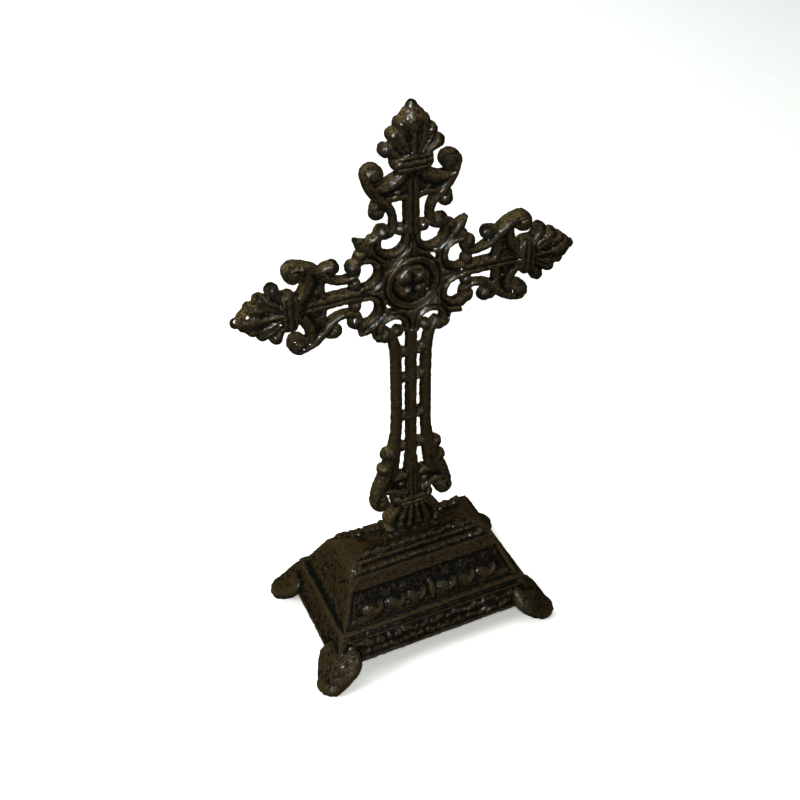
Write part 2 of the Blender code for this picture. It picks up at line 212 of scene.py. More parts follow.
def ball(bm, place, centre, size, side=1, tilt=0.0):
    """An ellipsoid at (across, depth, outward) with half sizes in the same order, tilted in its plane."""
    v, y, u = centre
    matrix = (place @ Matrix.Translation((side * v, y, u)) @ Matrix.Rotation(side * tilt, 4, "Y")
              @ Matrix.Diagonal((*size, 1)))
    poles = [bm.verts.new(matrix @ Vector((0, 0, end))) for end in SIDES]
    rows = [[bm.verts.new(matrix @ point) for point in row] for row in UNIT_BALL]
    for row, following in zip(rows, rows[1:]):
        for a, b, c, d in zip(row, turned_by_one(row), turned_by_one(following), following):
            bm.faces.new((a, b, c, d))
    for pole, row in zip(poles, (rows[0], rows[-1])):
        for a, b in zip(row, turned_by_one(row)):
            bm.faces.new((pole, a, b))


def arc(centre, radius, start, end, half, depth, count):
    """Points of a band along a circle, from start to end degrees; a pair of values is first and last."""
    def between(value, t):
        low, high = value if isinstance(value, tuple) else (value, value)
        return low + (high - low) * t

    points = []
    for i in range(count + 1):
        t = i / count
        turn = math.radians(start + (end - start) * t)
        r = between(radius, t)
        points.append((centre[0] + r * math.cos(turn), centre[1] + r * math.sin(turn),
                       between(half, t), between(depth, t)))
    return points


TURNED_SIDES = 72


def turned(bm, place, profile):
    """Turns a profile of (radius, y) about the frame's Y axis, from one face's centre to the other."""
    rows = []
    for radius, y in profile:
        turns = [2 * math.pi * i / TURNED_SIDES for i in range(TURNED_SIDES if radius else 1)]
        rows.append([
            bm.verts.new(place @ Vector((radius * math.cos(a), y, radius * math.sin(a)))) for a in turns
        ])
    for row, following in zip(rows, rows[1:]):
        for i in range(TURNED_SIDES):
            j = (i + 1) % TURNED_SIDES
            corners = (row[i % len(row)], row[j % len(row)],
                       following[j % len(following)], following[i % len(following)])
            bm.faces.new(dict.fromkeys(corners))


# The cross: each function adds one motif

BAR = oval(3.4, 28)
ROUND = oval(2.2, 16)
SQUARE = oval(4.5, 24)
RIDGED = oval(1.6, 16)


def add_scroll(bm, place, side, centre, start):
    """A scroll's end: a band that winds in round a boss, thicker than the stem it grows from."""
    spiral = arc(centre, (3.7, 2.6), start, start + SCROLL_TURN, (2.0, 1.4), (4.7, 4.4), 14)
    band(bm, place, spiral, side, steps=2, section=ROUND)
    ball(bm, place, (centre[0], 0, centre[1]), (4.4, 4.9, 4.4), side)


def add_arm_scrolls(bm, place, side):
    """The stem that rises from the loop to the big scroll, and the leaves between stem and bar."""
    stem = ((13.4, 26.4, 1.6, 3.1), (10.4, 27.8, 1.9, 3.2), (9.0, 31.5, 1.9, 3.2),
            (9.3, 36.0, 1.9, 3.3), (11.3, 40.4, 2.2, 3.6), (14.9, 44.4, 2.7, 4.1),
            (18.6, 48.8, 2.6, 4.5), (20.9, 53.6, 2.3, 4.8))
    band(bm, place, stem, side, section=ROUND)
    add_scroll(bm, place, side, SCROLL_CENTRE, -32)
    crescent = ((4.4, 54.6, 3.0, 3.8), (9.0, 51.6, 3.1, 4.1),
                (13.4, 50.2, 2.8, 4.2), (18.2, 50.8, 1.8, 4.0))
    band(bm, place, crescent, side, section=ROUND)
    leaf = ((2.6, 43.4, 1.8, 3.2), (6.8, 44.8, 2.3, 3.4),
            (11.0, 44.6, 2.1, 3.4), (15.0, 46.2, 1.5, 3.4))
    band(bm, place, leaf, side, section=ROUND)
    ball(bm, place, (7.4, 0, 47.2), (2.5, 3.7, 1.9), side)
    band(bm, place, ((2.0, 49.6, 3.5, 2.9), (15.0, 48.8, 2.4, 2.9)), side, section=SQUARE)
    neck = ((13.6, 43.6, 1.8, 3.4), (17.2, 42.6, 2.0, 3.4), (18.4, 39.8, 1.6, 3.2))
    band(bm, place, neck, side, section=ROUND)
    ball(bm, place, (16.7, 0, 38.7), (3.7, 4.0, 3.6), side)
    ball(bm, place, (14.3, 0, 28.7), (3.9, 4.3, 3.8), side)


def add_loop(bm, place, side, curl=True):
    """The open loop between a bar and a diagonal leaf."""
    rim = arc(LOOP_CENTRE, (LOOP_RADIUS + 0.2, LOOP_RADIUS - 0.2), 168, 380, 2.5, 3.2, 14)
    band(bm, place, rim, side, steps=2, section=oval(3.0, 20))
    if curl:
        ball(bm, place, (5.6, 0, 28.2), (3.2, 3.9, 3.0), side)


def add_bar(bm, place, end):
    """The bar, which spreads where it meets the ring."""
    bar = ((0, 9.0, 7.6, 2.6), (0, 14.5, 5.8, 2.9), (0, 18.0, 4.2, 3.2),
           (0, 22.5, 3.6, 3.4), (0, end, 3.6, 3.4))
    band(bm, place, bar, section=BAR)


def add_collar(bm, place, start):
    """A flaring neck under a thick flat band."""
    shape = ((-2.0, 3.6, 3.4), (-0.6, 5.2, 3.8), (0.8, 7.6, 4.4), (2.2, 9.2, 4.9), (3.4, 9.7, 5.1),
             (6.4, 9.7, 5.1), (7.6, 9.2, 4.8), (8.6, 7.4, 3.9))
    loft(bm, [
        [place @ Vector((half * k, depth * y, start + u)) for k, y in SQUARE]
        for u, half, depth in shape
    ])


# Each lobe of a palmette: root, end, half width and half depth; and a rib's shape along it
LOBES = (((4.4, 62.4), (12.7, 67.6), 3.3, 4.4), ((3.6, 63.2), (9.0, 73.6), 3.3, 4.5),
         ((2.0, 64.0), (5.8, 78.2), 3.1, 4.4))
RIB = ((0, 0.5, 0.88), (0.4, 0.68, 0.94), (0.72, 0.85, 0.97), (0.9, 0.9, 0.95))


def add_palmette(bm, place):
    """The leaf finial: ribs that fan out of the collar into round lobes, and a pointed middle leaf."""
    for side in SIDES:
        for (v0, u0), (v1, u1), half, depth in LOBES:
            rib = [(v0 + (v1 - v0) * t, u0 + (u1 - u0) * t, half * wide, depth * deep)
                   for t, wide, deep in RIB]
            band(bm, place, rib, side, section=ROUND)
            ball(bm, place, (v1 - 0.4, 0, u1 - 0.6), (half, depth, half), side)
        band(bm, place, ((2.0, 64.0, 3.4, 4.1), (5.0, 71.0, 4.6, 4.2), (3.8, 77.0, 3.4, 3.9)), side)
    band(bm, place, ((0, 62.0, 1.6, 4.6), (0, 69.0, 1.6, 4.8), (0, 75.0, 2.1, 4.8)), section=ROUND)
    tip = ((0, 72.4, 3.0, 4.2), (0, 75.2, 5.2, 5.2), (0, 78.4, 6.4, 5.3), (0, 81.0, 6.0, 4.6),
           (0, ARM_REACH - 3.6, 4.9, 3.5), (0, ARM_REACH - 2.2, 3.1, 2.2))
    band(bm, place, tip, section=RIDGED)
    for side in SIDES:
        ball(bm, place, (2.6, 0, 79.6), (2.6, 4.4, 3.2), side, 0.5)


def add_arm(bm, place):
    add_bar(bm, place, 56.0)
    for side in SIDES:
        add_loop(bm, place, side)
        add_arm_scrolls(bm, place, side)
    add_collar(bm, place, COLLAR_START)
    add_palmette(bm, place)


DIAGONAL_LEAF = ((0, 1.8, 2.9), (0.35, 3.0, 3.1), (0.66, 3.9, 3.5), (0.84, 2.9, 3.3), (0.97, 1.4, 2.5))


def add_diagonal_leaf(bm, side, root, tip, lobes):
    """A three-lobed leaf with a ridge down its middle."""
    path = [(root[0] + (tip[0] - root[0]) * t, root[1] + (tip[1] - root[1]) * t, half, depth)
            for t, half, depth in DIAGONAL_LEAF]
    band(bm, TOP_ARM, path, side, section=RIDGED)
    for (v, u), radius in lobes:
        ball(bm, TOP_ARM, (v, 0, u), (radius, 3.7, radius), side)
        vein = ((root[0] * 1.2, root[1] * 1.2, 0.9, 3.2), (v, u, 1.3, 3.6))
        band(bm, TOP_ARM, vein, side, section=ROUND)


def add_rosette(bm):
    """The ring on its plate, the domed boss inside it and four petals on the boss."""
    front = ((0, -3.5), (3.0, -3.5), (6.0, -3.3), (8.0, -3.0), (9.0, -2.4), (9.8, -2.0), (10.4, -3.0),
             (11.0, -3.3), (11.8, -3.2), (12.6, -3.6), (13.2, -3.5), (13.8, -3.0), (14.6, -2.9), (15.3, -2.6))
    turned(bm, TOP_ARM, [*front, *((radius, -y) for radius, y in reversed(front))])
    petal_reach, petal_depth, petal_size = 4.7, 3.3, (2.5, 1.7, 1.8)
    for depth in (-petal_depth, petal_depth):
        for turn in (45, 135, 225, 315):
            a = math.radians(turn)
            centre = (petal_reach * math.cos(a), depth, petal_reach * math.sin(a))
            ball(bm, TOP_ARM, centre, petal_size, tilt=-a)


def add_shaft(bm):
    """The three uprights and their beaded links."""
    middle = ((0, 9.0, 7.4, 2.6), (0, 14.0, 5.4, 2.9), (0, 17.5, 3.9, 3.1), (0, 22.0, 3.2, 3.2),
              (0, 28.0, 2.7, 3.2), (0, down_to(112), 2.8, 3.3))
    band(bm, SHAFT, middle, section=oval(2.8, 20))
    for z in LINK_HEIGHTS:
        band(bm, SHAFT, [(x, down_to(z) + 1.0, 1.5, 2.7) for x in (-COLUMN_X, COLUMN_X)])
        for side in SIDES:
            ball(bm, SHAFT, (5.0, 0, down_to(z) - 0.6), (2.4, 3.5, 2.4), side)
            ball(bm, SHAFT, (3.4, 0, down_to(z) + 0.8), (1.8, 3.4, 1.7), side)


def add_shaft_scrolls(bm):
    """The outer uprights from the loops down to the scrolls at the foot, with their leaves."""
    column = ((12.8, 23.8, 1.8, 3.1), (10.6, 27.4, 2.4, 3.3), (8.7, 34.0, 2.8, 3.5),
              (COLUMN_X, 44.0, 2.8, 3.5), (COLUMN_X, down_to(140), 2.8, 3.5), (8.5, down_to(130), 2.9, 3.5),
              (9.8, down_to(122), 3.2, 3.6), (12.0, down_to(114), 3.5, 3.8), (15.0, down_to(105), 3.8, 4.2),
              (18.4, down_to(97.6), 3.2, 4.6), (20.7, down_to(91.0), 2.5, 4.8))
    inner = ((7.4, down_to(123), 1.4, 2.9), (9.0, down_to(114), 2.5, 3.2), (11.0, down_to(105), 3.2, 3.4),
             (14.0, down_to(98), 2.8, 3.3))
    crescent = ((5.4, down_to(88.8), 2.6, 3.9), (9.2, down_to(91.8), 2.8, 4.2),
                (13.2, down_to(94.4), 2.5, 4.2), (18.0, down_to(94), 1.6, 3.9))
    leaf = ((3.0, down_to(100.8), 2.2, 3.3), (6.8, down_to(102.0), 2.7, 3.7),
            (11.0, down_to(101.2), 2.3, 3.6))
    for side in SIDES:
        add_loop(bm, SHAFT, side, curl=False)
        for points in (column, inner, crescent, leaf):
            band(bm, SHAFT, points, side, section=ROUND)
        band(bm, SHAFT, ((2.0, down_to(97), 3.6, 2.8), (15.5, down_to(97), 3.0, 2.8)), side, section=SQUARE)
        add_scroll(bm, SHAFT, side, LOWER_SCROLL_CENTRE, -26)
        ball(bm, SHAFT, (15.9, 0, down_to(109)), (3.6, 4.4, 3.3), side)
        ball(bm, SHAFT, (13.2, 0, down_to(118.4)), (4.2, 4.4, 3.9), side)
        ball(bm, SHAFT, (6.6, 0, down_to(97.0)), (2.6, 3.9, 2.5), side)
        ball(bm, SHAFT, (14.2, 0, 26.6), (3.4, 4.2, 3.4), side)
        ball(bm, SHAFT, (7.2, 0, 25.4), (3.0, 3.8, 2.9), side)
        ball(bm, SHAFT, (8.8, 0, down_to(85.6)), (3.4, 5.0, 3.3), side)


def add_foot(bm):
    """The stem's wide foot, the lower collar, the fan of leaves and the block that stands on the plinth."""
    stem = ((0, down_to(114), 2.9, 3.3), (0, down_to(105), 4.0, 3.7), (0, down_to(96), 4.6, 4.0),
            (0, down_to(86), 4.8, 4.2))
    band(bm, SHAFT, stem, section=BAR)
    add_collar(bm, SHAFT, down_to(LOWER_COLLAR_Z))
    fan = ((13.2, 73.6, 3.3, 5.3), (8.2, 70.6, 3.0, 6.0), (2.8, 69.6, 2.9, 6.4))
    for side in SIDES:
        for v, z, half, depth in fan:
            leaf = ((v * 0.5, down_to(82), half * 0.6, depth * 0.8),
                    (v * 0.82, down_to(z + 4), half * 0.85, depth * 0.9),
                    (v, down_to(z), half * 0.85, depth * 0.9))
            band(bm, SHAFT, leaf, side, section=ROUND)
            ball(bm, SHAFT, (v, 0, down_to(z) + 0.6), (half, depth, half), side)
        for v, z, half in ((13.6, 66.4, 3.2), (5.6, 65.0, 2.6), (10.8, 64.0, 2.4), (13.4, 62.4, 2.2)):
            ball(bm, SHAFT, (v, 0, down_to(z)), (half, 5.6, half * 0.9), side)
        ball(bm, SHAFT, (0, 0, down_to(64.4)), (2.8, 6.0, 2.4), side)
    block = ((76, 9.6, 4.2), (70, 12.4, 4.9), (64, 13.4, 5.0), (61.6, 13.8, 5.2), (60.4, 13.6, 5.0))
    loft(bm, [
        [SHAFT @ Vector((half * k, depth * y, down_to(z))) for k, y in SQUARE]
        for z, half, depth in block
    ])


# The diagonal leaves beside the ring: root and tip
UPPER_LEAF, LOWER_LEAF = ((12.9, 12.9), (27.6, 27.6)), ((12.9, -12.9), (26.2, -22.4))


def make_cross_mesh():
    bm = bmesh.new()
    for place in (TOP_ARM, LEFT_ARM, RIGHT_ARM):
        add_arm(bm, place)
    upper = (((19.2, 25.4), 2.9), ((25.4, 19.2), 2.9))
    lower = (((17.8, -22.6), 2.9), ((25.0, -17.0), 2.8))
    for side in SIDES:
        add_diagonal_leaf(bm, side, *UPPER_LEAF, upper)
        add_diagonal_leaf(bm, side, *LOWER_LEAF, lower)
    add_rosette(bm)
    add_shaft(bm)
    add_shaft_scrolls(bm)
    add_foot(bm)
    return bm


# The plinth

CORNER_POINTS = 5


def rounded_rectangle(half_x, half_y, z, radius):
    ring = []
    for start, (sx, sy) in enumerate(((1, 1), (-1, 1), (-1, -1), (1, -1))):
        for i in range(CORNER_POINTS):
            turn = QUARTER_TURN * (start + i / (CORNER_POINTS - 1))
            ring.append(Vector((sx * (half_x - radius) + radius * math.cos(turn),
                                sy * (half_y - radius) + radius * math.sin(turn), z)))
    return ring


def add_shell(bm):
    """The hollow body: up the outside, down the socket and down the inside, as one closed wall."""
    outside = ((60.4, 38.0, 13.4, 1.0), (61.4, 39.0, 14.0, 1.2), (61.2, 38.8, 15.0, 1.2),
               (60.0, 37.4, 15.6, 1.2), (55.6, 32.4, 27.4, 1.0), (54.6, 31.4, 28.0, 1.0),
               (54.6, 31.4, 28.6, 1.0), (55.9, 32.7, 29.1, 1.0), (55.9, 32.6, 29.8, 1.0),
               (54.2, 30.6, 30.7, 1.0), (53.4, 29.8, 30.4, 1.0), (52.7, 28.9, 30.9, 1.0),
               (42.9, 16.3, 54.0, 1.0), (42.2, 15.6, 54.2, 1.2), (42.8, 15.2, 55.0, 1.2),
               (41.6, 13.0, 56.6, 0.9), (38.6, 10.0, 58.7, 0.9), (33.0, 6.6, 60.0, 0.9))
    socket = ((*SOCKET, 60.0, 0.6), (*SOCKET, 54.8, 0.6))
    inside = ((31.0, 8.6, 55.0, 1.5), (33.5, 10.2, 53.5, 1.5),
              (HIP_FOOT[0] - WALL, HIP_FOOT[1] - WALL, 30.6, 2.0),
              (SKIRT_TOP[0] - WALL - 0.4, SKIRT_TOP[1] - WALL - 0.4, 28.0, 2.0),
              (SKIRT_FOOT[0] - WALL, SKIRT_FOOT[1] - WALL, 13.6, 2.0))
    loft(bm, [rounded_rectangle(*level) for level in (*outside, *socket, *inside)], cyclic=True)


def frame_of(origin, *columns):
    """A frame from its origin and the directions of its three axes."""
    turn = Matrix([[column[row] for column in columns] for row in range(3)]).to_4x4()
    return Matrix.Translation(origin) @ turn


def slope_frame(foot, top, face):
    """Places (x, outward, up the slope) of a long face between two levels; face is 1 at the back."""
    up = Vector((0, (top[1] - foot[1]) * face, top[2] - foot[2]))
    outward = Vector((0, up.z * face, -up.y * face))
    return frame_of((0, foot[1] * face, foot[2]), Vector((1, 0, 0)), outward.normalized(), up.normalized())


def end_frame(foot, top, side):
    """Places (y, outward, up the slope) of an end face between two levels."""
    up = Vector(((top[0] - foot[0]) * side, 0, top[2] - foot[2]))
    outward = Vector((up.z * side, 0, -up.x * side))
    return frame_of((foot[0] * side, 0, foot[2]), Vector((0, 1, 0)), outward.normalized(), up.normalized())


def add_slab(bm, place, corners, high):
    """A flat plate let into a slope, from its corners of (x, up) and the height of its face."""
    loft(bm, [[place @ Vector((x, out, u)) for x, u in corners] for out in (-2.0, high)])


def add_slope(bm, face):
    """One long slope: the flat bands round the sunk panel, and the leaves in the panel."""
    place = slope_frame(HIP_FOOT, HIP_TOP, face)
    length = math.hypot(HIP_FOOT[1] - HIP_TOP[1], HIP_TOP[2] - HIP_FOOT[2])

    def edge(u):
        return HIP_FOOT[0] + (HIP_TOP[0] - HIP_FOOT[0]) * u / length

    top_band = length * TOP_BAND_SHARE
    add_slab(bm, place, ((-edge(top_band), top_band), (edge(top_band), top_band),
                         (edge(length), length), (-edge(length), length)), SLOPE_LIFT)
    add_slab(bm, place, ((-edge(0), 0), (edge(0), 0), (edge(LOWER_BAND), LOWER_BAND),
                         (-edge(LOWER_BAND), LOWER_BAND)), 0.0)
    for side in SIDES:
        strip = ((edge(0), 0), (edge(length), length),
                 (edge(length) - END_BORDER, length), (edge(0) - END_BORDER, 0))
        add_slab(bm, place, [(side * x, u) for x, u in strip], SLOPE_LIFT)
    upright = ((0.4, 3.6, 1.2, 1.2), (1.0, 7.6, 2.0, 1.5), (0.8, 11.6, 1.3, 1.0))
    band(bm, place, upright, section=ROUND)
    for x in SWAGS_X:
        add_swag(bm, place, -face, x)


def add_swag(bm, place, side, x):
    """One leaf of the garland: a broad low body and the fat curled tip that rises from it."""
    x *= side
    ball(bm, place, (x - 1.0, -1.3, 6.2), (6.4, 2.0, 4.2), side, 0.25)
    tip = ((x + 1.4, 4.8, 0.9, 1.2), (x + 2.8, 6.0, 1.5, 2.1),
           (x + 4.4, 7.8, 1.5, 2.3), (x + 5.2, 9.2, 0.9, 1.2))
    band(bm, place, tip, side, section=ROUND)


def side_frame(y, z, face):
    """Places (x, outward, up) from a line along the front or the back of the plinth."""
    return Matrix.Translation((0, y * face, z)) @ Matrix.Diagonal((1, face, 1, 1))


def add_roof(bm, face, chance):
    """The knobbly torus, the reed and the row of dentils along one long side of the roof."""
    torus = side_frame(13.9, 55.0, face)
    band(bm, torus, ((-37.5, 0, 1.7, 1.7), (37.5, 0, 1.7, 1.7)), steps=1, section=ROUND)
    for i in range(46):
        size = chance.uniform(0.7, 1.35)
        place = (-36 + 1.6 * i, 0.9, 0.8 + chance.uniform(-0.5, 0.6))
        ball(bm, torus, place, (1.1 * size, size + 0.3, size))
    reed = side_frame(10.7, 57.9, face)
    band(bm, reed, ((-34.5, 0, 1.1, 1.2), (34.5, 0, 1.1, 1.2)), steps=1, section=ROUND)
    for i in range(40):
        size = chance.uniform(0.6, 1.1)
        ball(bm, reed, (-33.5 + 1.7 * i, 0.5, 0.5 + chance.uniform(-0.3, 0.4)), (size, size, size))
    row = side_frame(7.5, 59.9, face)
    for i in range(22):
        size = chance.uniform(0.9, 1.7)
        place = (-31.5 + 3 * i + chance.uniform(-0.7, 0.7), chance.uniform(-0.2, 1.2),
                 chance.uniform(-0.5, 0.2))
        ball(bm, row, place, (1.25 * size, size, size))
    for x_side in SIDES:
        for _ in range(7):
            size = chance.uniform(0.9, 1.7)
            place = (x_side * (36.4 + chance.uniform(-1.6, 1.6)), chance.uniform(-1.2, 1.4),
                     chance.uniform(-0.4, 2.6))
            ball(bm, torus, place, (size, size, size))


def add_skirt(bm, face, chance):
    """The worn relief of the long skirt: a chain of small slanting leaves, each a little different."""
    place = slope_frame(SKIRT_FOOT, SKIRT_TOP, face)
    for i in range(-16, 17):
        for u in (4.6, 9.4):
            x = 3.2 * i + chance.uniform(-1.0, 1.0)
            long, thin = chance.uniform(1.4, 2.5), chance.uniform(0.8, 1.5)
            size = (long, chance.uniform(0.4, 0.85), thin)
            centre = (x, -0.35, u + chance.uniform(-0.8, 0.8))
            ball(bm, place, centre, size, tilt=chance.uniform(-1.1, 0.3))
    for u in (1.2, 13.2):
        band(bm, place, ((-51, u, 0.6, 0.5), (51, u, 0.6, 0.5)), steps=1, section=ROUND)


def paw_axes(x_side, y_side):
    """The directions out of a corner and across its paw, and the corner itself."""
    outward = Vector((x_side * math.cos(FOOT_TURN), y_side * math.sin(FOOT_TURN), 0))
    corner = Vector((x_side * FOOT_CORNER[0], y_side * FOOT_CORNER[1], 0))
    return outward, Vector((-outward.y, outward.x, 0)), corner


def paw_slope(x_side, y_side):
    """Places (across, outward, up) of a paw's slanting top, from its toes."""
    outward, across, corner = paw_axes(x_side, y_side)
    upright = Vector((0, 0, 1))
    return frame_of(corner + 12 * outward + 6 * upright, across, (outward + upright).normalized(),
                    (upright - outward).normalized())


def add_paw(bm, x_side, y_side, chance):
    """One paw: a broad tongue out of the corner, hair down it, knobs at the knee and three soft toes."""
    outward, across, corner = paw_axes(x_side, y_side)
    place = frame_of(corner, outward, across, Vector((0, 0, 1)))
    leg = ((-8.0, 20.4, 3.8, 7.6), (-4.0, 16.6, 5.2, 12.2), (0.4, 12.2, 5.6, 12.6),
           (4.6, 7.8, 5.6, 10.6), (8.2, 5.2, 5.2, 8.6), (10.8, 4.4, 4.4, 6.4))
    band(bm, place, leg, section=oval(2.2, 28))
    for offset in range(-8, 9, 2):
        sink = 0.04 * offset * offset
        hair = [(out - sink, z - 0.6 * sink, 0.45, 0.5)
                for out, z in ((3.4, 16.0), (6.2, 12.6), (8.8, 9.4), (10.8, 7.4))]
        band(bm, place @ Matrix.Translation((0, offset, 0)), hair, section=ROUND)
    for i in range(20):
        swing = math.radians(chance.uniform(-74, 74))
        fall = 1 - math.cos(swing)
        drop = chance.uniform(0, 3.2)
        size = chance.uniform(1.0, 2.2)
        knob = (1.0 + 0.85 * drop - 5.0 * fall, 11.6 * math.sin(swing), 18.2 - drop - 3.2 * fall)
        ball(bm, place, knob, (size, size * 1.2, size))
    for offset, out in ((-4.6, 9.0), (0, 10.8), (4.6, 9.0)):
        ball(bm, place, (out, offset, 4.4), (4.6, 2.9, 4.2))
        ball(bm, place, (out + 2.2, offset + 0.5, 6.0), (1.5, 1.4, 1.3))


def make_base_mesh():
    bm = bmesh.new()
    chance = random.Random(KNOB_SEED)
    add_shell(bm)
    for face in SIDES:
        add_slope(bm, face)
        add_roof(bm, face, chance)
        add_skirt(bm, face, chance)
        for x_side in SIDES:
            add_paw(bm, x_side, face, chance)
    return bm


# Grooves and dents: (points, width, depth), a point being (across, up) in the frame it is pressed along

def on_cross(place, v, u, side=1):
    spot = place @ Vector((side * v, 0, u))
    return spot.x, spot.z


def arm_grooves(place, end):
    """The line down the bar, the two lines across the collar, and the outlines of the two loops."""
    yield [on_cross(place, 0, u) for u in (15.5, end)], 0.55, 1.1
    for u in (3.2, 6.3):
        yield [on_cross(place, v, end + u) for v in (-7.6, 7.6)], 0.5, 1.0
    for side in SIDES:
        outline = arc(LOOP_CENTRE, LOOP_RADIUS + 0.7, 172, 362, 0, 0, 20)
        yield [on_cross(place, v, u, side) for v, u, _, _ in outline], 0.8, 1.7


def scroll_grooves(place, centre, start):
    """The line that winds into a scroll."""
    for side in SIDES:
        spiral = arc(centre, (4.2, 2.0), start, start + 400, 0, 0, 26)
        yield [on_cross(place, v, u, side) for v, u, _, _ in spiral], 0.5, 0.6


def palmette_grooves(place):
    for side in SIDES:
        for root, end in (((1.6, 65.0), (4.2, 73.6)), ((3.2, 64.6), (7.6, 71.4)),
                          ((4.8, 64.0), (9.8, 67.8))):
            yield [on_cross(place, *spot, side) for spot in (root, end)], 0.45, 0.6


def rosette_grooves():
    for radius, width, depth in ((14.0, 0.75, 1.5), (11.7, 0.35, 0.4), (9.6, 0.9, 1.7)):
        ring = arc((0, 0), radius, 0, 360, 0, 0, 48)
        yield [on_cross(TOP_ARM, v, u) for v, u, _, _ in ring], width, depth
    for v, u in ((7.4, 0), (0, 7.4)):
        yield [on_cross(TOP_ARM, v * side, u * side) for side in SIDES], 1.2, 0.4


def cross_grooves():
    for place in (TOP_ARM, LEFT_ARM, RIGHT_ARM):
        yield from arm_grooves(place, COLLAR_START)
        yield from scroll_grooves(place, SCROLL_CENTRE, -40)
        yield from palmette_grooves(place)
    yield from list(arm_grooves(SHAFT, down_to(LOWER_COLLAR_Z)))[1:]
    yield from scroll_grooves(SHAFT, LOWER_SCROLL_CENTRE, -36)
    for v in (-2.4, 0, 2.4):
        yield [on_cross(SHAFT, v, down_to(z)) for z in (106, 89)], 0.5, 0.5
    for v, z in ((-10.6, 68), (-5.4, 66), (0, 66), (5.4, 66), (10.6, 68)):
        yield [on_cross(SHAFT, v * 0.6, down_to(81)), on_cross(SHAFT, v, down_to(z))], 0.6, 0.7
    yield from rosette_grooves()
    for side in SIDES:
        for root, tip in (UPPER_LEAF, LOWER_LEAF):
            for bend in (0.72, 1.28):
                middle = ((root[0] + tip[0]) / 2 * bend, (root[1] + tip[1]) / 2 * (2 - bend))
                yield [on_cross(TOP_ARM, *spot, side) for spot in (root, middle)], 0.45, 0.7


def distance_to_line(x, z, points):
    """How far each place (x, z) is from a line through the points."""
    nearest = np.full(len(x), np.inf)
    for (x0, z0), (x1, z1) in zip(points, points[1:]):
        dx, dz = x1 - x0, z1 - z0
        t = np.clip(((x - x0) * dx + (z - z0) * dz) / (dx * dx + dz * dz), 0, 1)
        nearest = np.minimum(nearest, np.hypot(x - x0 - t * dx, z - z0 - t * dz))
    return nearest


def read_points(mesh, what="co"):
    values = np.empty(len(mesh.vertices) * 3, np.float32)
    mesh.vertices.foreach_get(what, values)
    return values.reshape(-1, 3).astype(float)


def engrave(obj, grooves, place=Matrix(), below=-math.inf):
    """Presses grooves, drawn in a frame's (across, up) plane, into the faces that look along its depth."""
    mesh = obj.data
    place = np.array(place)
    turn, origin = place[:3, :3], place[:3, 3]
    points = (read_points(mesh) / MM - origin) @ turn
    facing = (read_points(mesh, "normal") @ turn)[:, 1]
    depth = np.zeros(len(points))
    for line, width, deep in grooves:
        xs, zs = zip(*line)
        reach = 3 * width
        near = np.flatnonzero((points[:, 0] > min(xs) - reach) & (points[:, 0] < max(xs) + reach)
                              & (points[:, 2] > min(zs) - reach) & (points[:, 2] < max(zs) + reach)
                              & (points[:, 1] > below))
        away = distance_to_line(points[near, 0], points[near, 2], line)
        depth[near] = np.maximum(depth[near], deep * np.exp(-(away / width) ** 2))
    points[:, 1] -= depth * np.clip(facing * 1.4, -1, 1)
    mesh.vertices.foreach_set("co", ((points @ turn.T + origin) * MM).astype(np.float32).ravel())
    mesh.update()


def engrave_cross(obj):
    engrave(obj, cross_grooves())


def random_dents(chance, count, half_width, heights, reach, deepest=0.55):
    """Short dents scattered over a face between two heights, each one leaning a little."""
    dents = []
    for _ in range(count):
        up = chance.uniform(*heights)
        across = chance.uniform(-1, 1) * half_width(up)
        lean, long = chance.uniform(-0.5, 0.5), chance.uniform(0.2, reach)
        line = [(across, up), (across + lean * long, up + long)]
        dents.append((line, chance.uniform(0.35, 0.7), chance.uniform(0.15, deepest)))
    return dents


def face_width(foot, top, axis):
    """Half the width of a sloping face, less its border, as a function of the height up the slope."""
    length = math.hypot(foot[1 - axis] - top[1 - axis], top[2] - foot[2])
    return lambda up: foot[axis] + (top[axis] - foot[axis]) * up / length - 1.5


def paw_width(_height):
    """Half the width of a paw that the dents cover, the same at every height."""
    return 10.0


